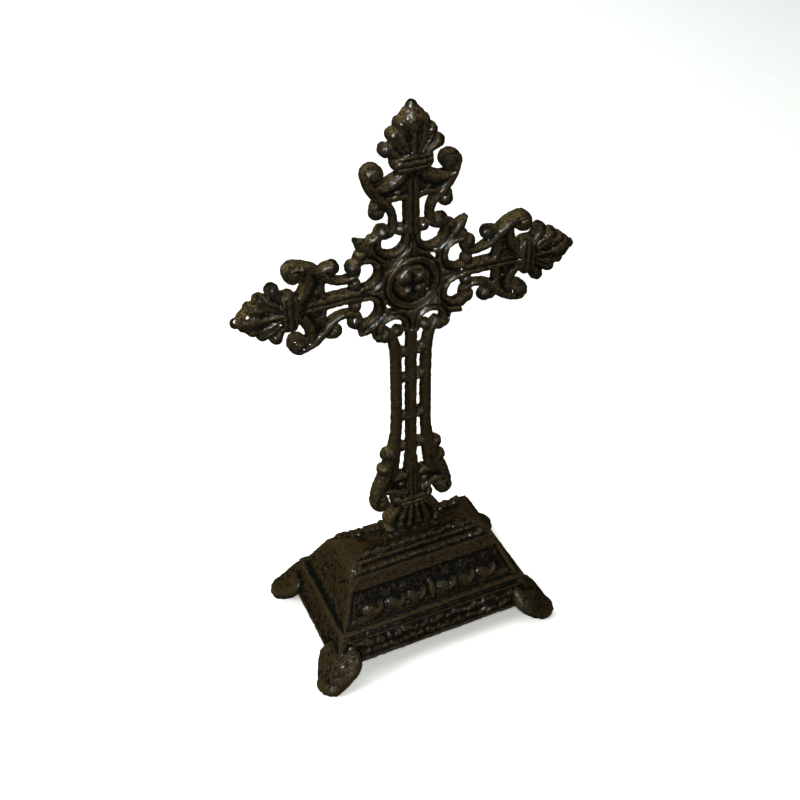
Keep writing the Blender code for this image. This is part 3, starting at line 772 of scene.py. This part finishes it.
def engrave_base(obj):
    """The dark lines between the mouldings, those round the panels, and the dents of a rough casting."""
    chance = random.Random(DENT_SEED)
    for side in SIDES:
        roof = slope_frame(ROOF_FOOT, ROOF_TOP, side)
        engrave(obj, [([(-37, 3.0), (37, 3.0)], 0.5, 1.2), ([(-34, 6.4), (34, 6.4)], 0.45, 0.8)], roof, -2)
        flutes = [([(-33 + 2 * i, 6.8), (-33 + 2 * i, 8.2)], 0.35, 0.6) for i in range(34)]
        engrave(obj, flutes, roof, -2)
        slope = slope_frame(HIP_FOOT, HIP_TOP, side)
        borders = [([(-50, 1.0), (50, 1.0)], 0.35, 0.5)]
        borders += [([(end * 48.8, 1.6), (end * 42.2, 19.4)], 0.6, 1.0) for end in SIDES]
        engrave(obj, borders, slope, -3)
        dents = random_dents(chance, 70, face_width(HIP_FOOT, HIP_TOP, 0), (11.0, 19.0), 1.0)
        engrave(obj, dents, slope, -3)
        skirt = slope_frame(SKIRT_FOOT, SKIRT_TOP, side)
        engrave(obj, [([(-52, 2.4), (52, 2.4)], 0.4, 0.4), ([(-50, 12.2), (50, 12.2)], 0.4, 0.5)], skirt, -2)
        dents = random_dents(chance, 40, face_width(SKIRT_FOOT, SKIRT_TOP, 0), (0.5, 12.0), 1.5)
        engrave(obj, dents, skirt, -2)
        for end in SIDES:
            dents = random_dents(chance, 90, paw_width, (0.5, 22.0), 1.4, deepest=1.0)
            engrave(obj, dents, paw_slope(end, side), -6)
        for foot, top, count in ((HIP_FOOT, HIP_TOP, 75), (SKIRT_FOOT, SKIRT_TOP, 45)):
            end = end_frame(foot, top, side)
            height = math.hypot(foot[0] - top[0], top[2] - foot[2]) - 3
            dents = random_dents(chance, count, face_width(foot, top, 1), (0.5, height), 2.6)
            engrave(obj, dents, end, -2)


# From shapes to castings

def object_of(name, bm):
    """Turns a bmesh in millimetres into an object in metres."""
    bmesh.ops.recalc_face_normals(bm, faces=bm.faces)
    bmesh.ops.scale(bm, vec=(MM, MM, MM), verts=bm.verts)
    mesh = bpy.data.meshes.new(name)
    bm.to_mesh(mesh)
    bm.free()
    obj = bpy.data.objects.new(name, mesh)
    bpy.context.scene.collection.objects.link(obj)
    return obj


def apply_modifiers(obj):
    graph = bpy.context.evaluated_depsgraph_get()
    mesh = bpy.data.meshes.new_from_object(obj.evaluated_get(graph))
    obj.modifiers.clear()
    old, obj.data = obj.data, mesh
    bpy.data.meshes.remove(old)


def sand_texture(name, size):
    texture = bpy.data.textures.new(name, "CLOUDS")
    texture.noise_scale = size * MM
    texture.noise_depth = 2
    return texture


def pour(obj, smoothing):
    """Runs the shapes of a casting together and rounds the joins."""
    remesh = obj.modifiers.new("run_together", "REMESH")
    remesh.mode = "VOXEL"
    remesh.voxel_size = VOXEL * MM
    smooth = obj.modifiers.new("fillets", "SMOOTH")
    smooth.iterations = smoothing
    apply_modifiers(obj)


def roughen(obj, height):
    """Gives the skin the grain of the sand mould."""
    for size in GRAIN_SIZES:
        grain = obj.modifiers.new(f"grain_{size}", "DISPLACE")
        grain.texture = sand_texture(f"sand_{size}", size)
        grain.texture_coords = "LOCAL"
        grain.strength = height * MM
    apply_modifiers(obj)


def thin_out(obj):
    """Brings the mesh under the most faces a piece should have."""
    obj.data.calc_loop_triangles()
    triangles = len(obj.data.loop_triangles)
    if triangles > MOST_FACES:
        decimate = obj.modifiers.new("thin", "DECIMATE")
        decimate.ratio = MOST_FACES / triangles
        apply_modifiers(obj)


def cut_soles(obj):
    """Cuts the paws flat at the ground."""
    bm = bmesh.new()
    bm.from_mesh(obj.data)
    cut = bmesh.ops.bisect_plane(
        bm, geom=[*bm.verts, *bm.edges, *bm.faces], plane_co=(0, 0, 0), plane_no=(0, 0, 1), clear_inner=True)
    rim = [item for item in cut["geom_cut"] if isinstance(item, bmesh.types.BMEdge)]
    bmesh.ops.holes_fill(bm, edges=rim)
    bm.to_mesh(obj.data)
    bm.free()


# The sunk panels of the long sides: foot and top of the slope, and where on it the panel starts and ends
PANELS = ((HIP_FOOT, HIP_TOP, (4.8, 18.8)), (SKIRT_FOOT, SKIRT_TOP, (2.6, 12.0)))


def depth_in_panels(points):
    """How far down in a sunk panel of the plinth each point lies, from 0 at its border to 1 on its floor."""
    depth = np.zeros(len(points))
    for foot, top, (low, high) in PANELS:
        for face in SIDES:
            place = np.array(slope_frame(foot, top, face))
            across, outward, up = ((points / MM - place[:3, 3]) @ place[:3, :3]).T
            width = face_width(foot, top, 0)(up) - 1.4
            inside = (up > low) & (up < high) & (abs(across) < width) & (outward > -3)
            depth = np.maximum(depth, inside * np.clip((-0.1 - outward) / 0.4, 0, 1))
    return depth


def mark_relief(obj, sunk=None):
    """Stores how far each point stands proud of the smoothed surface, in millimetres, for the finish; in the
    sunk panels it is set lower, for painted shade.
    """
    mesh = obj.data
    count = len(mesh.vertices)
    points, normals = read_points(mesh), read_points(mesh, "normal")
    ends = np.empty(len(mesh.edges) * 2, np.int32)
    mesh.edges.foreach_get("vertices", ends)
    a, b = ends[0::2], ends[1::2]
    neighbours = np.maximum(np.bincount(ends, minlength=count), 1)[:, None]
    smooth = points.copy()
    for _ in range(RELIEF_ROUNDS):
        total = np.stack([
            np.bincount(a, smooth[b, k], count) + np.bincount(b, smooth[a, k], count) for k in range(3)
        ], axis=1)
        smooth = total / neighbours
    relief = ((points - smooth) * normals).sum(axis=1) / MM
    # Painted shade: the floors of the sunk panels are set lower, so the finish darkens them
    if sunk:
        relief -= SUNK_SHADE * sunk(points)
    attribute = mesh.attributes.new("relief", "FLOAT", "POINT")
    attribute.data.foreach_set("value", relief.astype(np.float32))


# Materials

def new_material(name):
    material = bpy.data.materials.new(name)
    material.use_nodes = True
    tree = material.node_tree
    return material, tree, tree.nodes["Principled BSDF"]


def add_node(tree, kind, settings=None, **inputs):
    """A node with its settings; an input takes a value or another node's socket."""
    node = tree.nodes.new(kind)
    for key, value in (settings or {}).items():
        setattr(node, key, value)
    for key, value in inputs.items():
        socket = node.inputs[key.replace("_", " ")]
        if isinstance(value, bpy.types.NodeSocket):
            tree.links.new(value, socket)
        else:
            socket.default_value = value
    return node


def add_noise(tree, size, detail=3.0):
    """A 3-D noise whose features are about size millimetres wide."""
    position = add_node(tree, "ShaderNodeTexCoord").outputs["Object"]
    noise = add_node(tree, "ShaderNodeTexNoise", Vector=position, Scale=1 / (size * MM), Detail=detail)
    return noise.outputs["Fac"]


def add_range(tree, value, low, high, to_low=0.0, to_high=1.0):
    node = add_node(tree, "ShaderNodeMapRange", Value=value, From_Min=low, From_Max=high,
                    To_Min=to_low, To_Max=to_high)
    return node.outputs["Result"]


def add_maths(tree, operation, first, second):
    node = add_node(tree, "ShaderNodeMath", {"operation": operation})
    for socket, value in zip(node.inputs, (first, second)):
        if isinstance(value, bpy.types.NodeSocket):
            tree.links.new(value, socket)
        else:
            socket.default_value = value
    return node.outputs["Value"]


def add_mix(tree, share, first, second):
    node = add_node(tree, "ShaderNodeMix", {"data_type": "RGBA"})
    tree.links.new(share, node.inputs["Factor"])
    colours = [socket for socket in node.inputs if socket.type == "RGBA"]
    for socket, value in zip(colours, (first, second)):
        if isinstance(value, bpy.types.NodeSocket):
            tree.links.new(value, socket)
        else:
            socket.default_value = (*value, 1.0)
    return next(output for output in node.outputs if output.type == "RGBA")


# Linear colours of the iron: black iron and painted shade for hollows and undersides, the two lacquers,
# rubbed crests, painted light on tops, and dark mottle
BLACK_IRON_AND_PAINTED_SHADE = (0.0018, 0.0022, 0.0015)
BROWN = (0.0205, 0.0134, 0.0050)
RUST = (0.0225, 0.0130, 0.0045)
BRONZE = (0.0160, 0.0114, 0.0046)
PAINTED_TOP_LIGHT_COLOUR = (0.0760, 0.0540, 0.0230)
UMBER = (0.0050, 0.0045, 0.0026)


def iron_finish(name, lacquer, hollow, crest, crest_colour, painted_top_light_share, gloss):
    """Lacquer over black iron: black iron with painted shade in hollows, painted shade on faces that look
    down, painted light on faces that look up, its own colour on crests, gritty gloss.
    """
    material, tree, shader = new_material(name)
    relief = add_node(tree, "ShaderNodeAttribute", {"attribute_name": "relief"}).outputs["Fac"]
    patches = add_range(tree, add_noise(tree, 5.0), 0.25, 0.75, -0.09, 0.09)
    specks = add_range(tree, add_noise(tree, 1.0, 4.0), 0.3, 0.7, -0.22, 0.22)
    uneven = add_maths(tree, "ADD", add_maths(tree, "ADD", relief, patches), specks)
    # Hollows go black: the black iron under the lacquer, with painted shade in the recesses
    lacquer_over_shaded_hollows = add_range(tree, uneven, hollow, 0.04)
    facing = add_node(tree, "ShaderNodeNewGeometry").outputs["Normal"]
    upward = add_node(tree, "ShaderNodeSeparateXYZ", Vector=facing).outputs["Z"]
    # Painted light: faces that look up are made lighter and golder, as far as the share allows
    painted_top_light_mask = add_range(tree, upward, 0.15, 0.75, 0.0, painted_top_light_share)
    rubbed = add_range(tree, uneven, *crest)
    mottle = add_range(tree, add_noise(tree, 0.9), 0.38, 0.62)
    colour = add_mix(tree, mottle, UMBER, add_mix(tree, painted_top_light_mask, lacquer, PAINTED_TOP_LIGHT_COLOUR))
    colour = add_mix(tree, rubbed, add_mix(tree, lacquer_over_shaded_hollows, BLACK_IRON_AND_PAINTED_SHADE, colour), crest_colour)
    # Painted shade: faces that look down are darkened towards black
    painted_underside_shade = add_range(tree, upward, 0.0, -0.6, 0.0, 0.85)
    colour = add_mix(tree, painted_underside_shade, colour, BLACK_IRON_AND_PAINTED_SHADE)
    tree.links.new(colour, shader.inputs["Base Color"])
    shader.inputs["Metallic"].default_value = 0.0
    shader.inputs["Specular IOR Level"].default_value = 0.1
    shader.inputs["Coat Weight"].default_value = gloss
    shader.inputs["Coat Roughness"].default_value = 0.07
    rough = add_range(tree, add_noise(tree, 2.4), 0.3, 0.7, 0.30, 0.48)
    tree.links.new(rough, shader.inputs["Roughness"])
    coarse = add_node(tree, "ShaderNodeBump", Height=add_noise(tree, 1.1, 2.0),
                      Strength=0.8, Distance=0.4 * MM)
    fine = add_node(tree, "ShaderNodeBump", Height=add_noise(tree, 0.5, 2.0),
                    Strength=0.6, Distance=0.14 * MM, Normal=coarse.outputs["Normal"])
    for socket in ("Normal", "Coat Normal"):
        tree.links.new(fine.outputs["Normal"], shader.inputs[socket])
    return material


def steel_finish():
    """Dull zinc plate with fine scratches."""
    material, tree, shader = new_material("zinc_plate")
    colour = add_mix(tree, add_noise(tree, 1.5), (0.30, 0.30, 0.29), (0.46, 0.46, 0.44))
    tree.links.new(colour, shader.inputs["Base Color"])
    shader.inputs["Metallic"].default_value = 1.0
    tree.links.new(add_range(tree, add_noise(tree, 0.6), 0.3, 0.7, 0.3, 0.5), shader.inputs["Roughness"])
    bump = add_node(tree, "ShaderNodeBump", Height=add_noise(tree, 0.3), Strength=0.3, Distance=0.03 * MM)
    tree.links.new(bump.outputs["Normal"], shader.inputs["Normal"])
    return material


def paper_finish():
    material, tree, shader = new_material("pale_floor")
    colour = add_mix(tree, add_noise(tree, 30.0), (0.80, 0.80, 0.79), (0.84, 0.84, 0.83))
    tree.links.new(colour, shader.inputs["Base Color"])
    shader.inputs["Roughness"].default_value = 0.9
    shader.inputs["Specular IOR Level"].default_value = 0.1
    return material


# Pieces

def finish_casting(obj, node, material, smoothing, cut_lines, grain):
    pour(obj, smoothing)
    cut_lines(obj)
    roughen(obj, grain)
    thin_out(obj)
    if node == "base_casting":
        cut_soles(obj)
    mark_relief(obj, depth_in_panels if node == "base_casting" else None)
    obj.data.materials.clear()
    obj.data.materials.append(material)
    obj.data.shade_smooth()
    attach(obj, "root")
    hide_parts(node)


def make_castings():
    cross_finish = {"lacquer": BROWN, "hollow": -0.18, "crest": (0.75, 1.15), "crest_colour": UMBER,
                    "painted_top_light_share": 0.8, "gloss": 0.8}
    plinth_finish = {"lacquer": RUST, "hollow": -0.16, "crest": (0.2, 0.7), "crest_colour": BRONZE,
                     "painted_top_light_share": 0.0, "gloss": 0.45}
    finish_casting(object_of("openwork_cross", make_cross_mesh()), "cross_casting",
                   iron_finish("brown_lacquered_iron", **cross_finish),
                   CROSS_SMOOTHING, engrave_cross, CROSS_GRAIN)
    finish_casting(object_of("pawed_plinth", make_base_mesh()), "base_casting",
                   iron_finish("brown_lacquered_plinth_iron", **plinth_finish),
                   PLINTH_SMOOTHING, engrave_base, PLINTH_GRAIN)


def finish_fixings():
    steel = steel_finish()
    for node in ("fixing_screw", "flat_washer", "spring_washer"):
        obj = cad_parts[node]
        obj.data.materials.clear()
        obj.data.materials.append(steel)


def make_floor():
    bm = bmesh.new()
    bmesh.ops.create_circle(bm, cap_ends=True, segments=64, radius=3000)
    floor = object_of("floor", bm)
    floor.data.materials.append(paper_finish())
    floor.visible_glossy = False


def add_light(name, place, size, power, colour=(1, 1, 1), mirrored=True, target=TARGET):
    """A round lamp that looks at the target; the gloss of the iron shows it only if it is mirrored."""
    light = bpy.data.lights.new(name, "AREA")
    light.shape = "DISK"
    light.size = size
    light.energy = power
    light.color = colour
    obj = bpy.data.objects.new(name, light)
    obj.location = place
    obj.rotation_euler = (target - Vector(place)).to_track_quat("-Z", "Y").to_euler()
    obj.visible_glossy = mirrored
    bpy.context.scene.collection.objects.link(obj)


def light_studio():
    """Soft lamps that the gloss doesn't show, a small one beside the camera for glints, and a pale room."""
    add_light("overhead", (-0.5, 0.2, 2.1), 2.0, 26, (0.98, 1.0, 0.98), mirrored=False)
    add_light("flash", (-0.19, -0.42, 0.53), 0.04, 3.4, (1.0, 0.99, 0.95))
    add_light("window", (-1.1, -0.05, 0.60), 0.5, 17, (0.97, 1.0, 0.97), mirrored=False)
    far_floor = Vector((0.2, 1.7, 0))
    add_light("backdrop", (0.3, 1.9, 1.5), 1.2, 16, mirrored=False, target=far_floor)
    add_light("fill", (-0.5, 1.1, 0.9), 0.8, 9, mirrored=False)
    world = bpy.data.worlds.new("studio")
    bpy.context.scene.world = world
    world.use_nodes = True
    background = world.node_tree.nodes["Background"]
    background.inputs["Color"].default_value = (0.90, 1.0, 0.95, 1.0)
    background.inputs["Strength"].default_value = 0.34
    world.cycles_visibility.glossy = False


def place_camera():
    """Looks down at the cross from the front left."""
    forward = Vector((math.sin(AZIMUTH) * math.cos(ELEVATION), math.cos(AZIMUTH) * math.cos(ELEVATION),
                      -math.sin(ELEVATION)))
    camera = bpy.data.cameras.new("camera")
    camera.lens = LENS
    camera.sensor_width = 36
    camera.clip_start = 0.01
    obj = bpy.data.objects.new("camera", camera)
    obj.location = TARGET - forward * DISTANCE
    look = forward.to_track_quat("-Z", "Y").to_matrix()
    obj.rotation_euler = (look @ Matrix.Rotation(-ROLL, 3, "Z")).to_euler()
    bpy.context.scene.collection.objects.link(obj)
    bpy.context.scene.camera = obj


place_camera()
make_castings()
finish_fixings()
make_floor()
light_studio()
bpy.context.scene.view_settings.view_transform = "Standard"
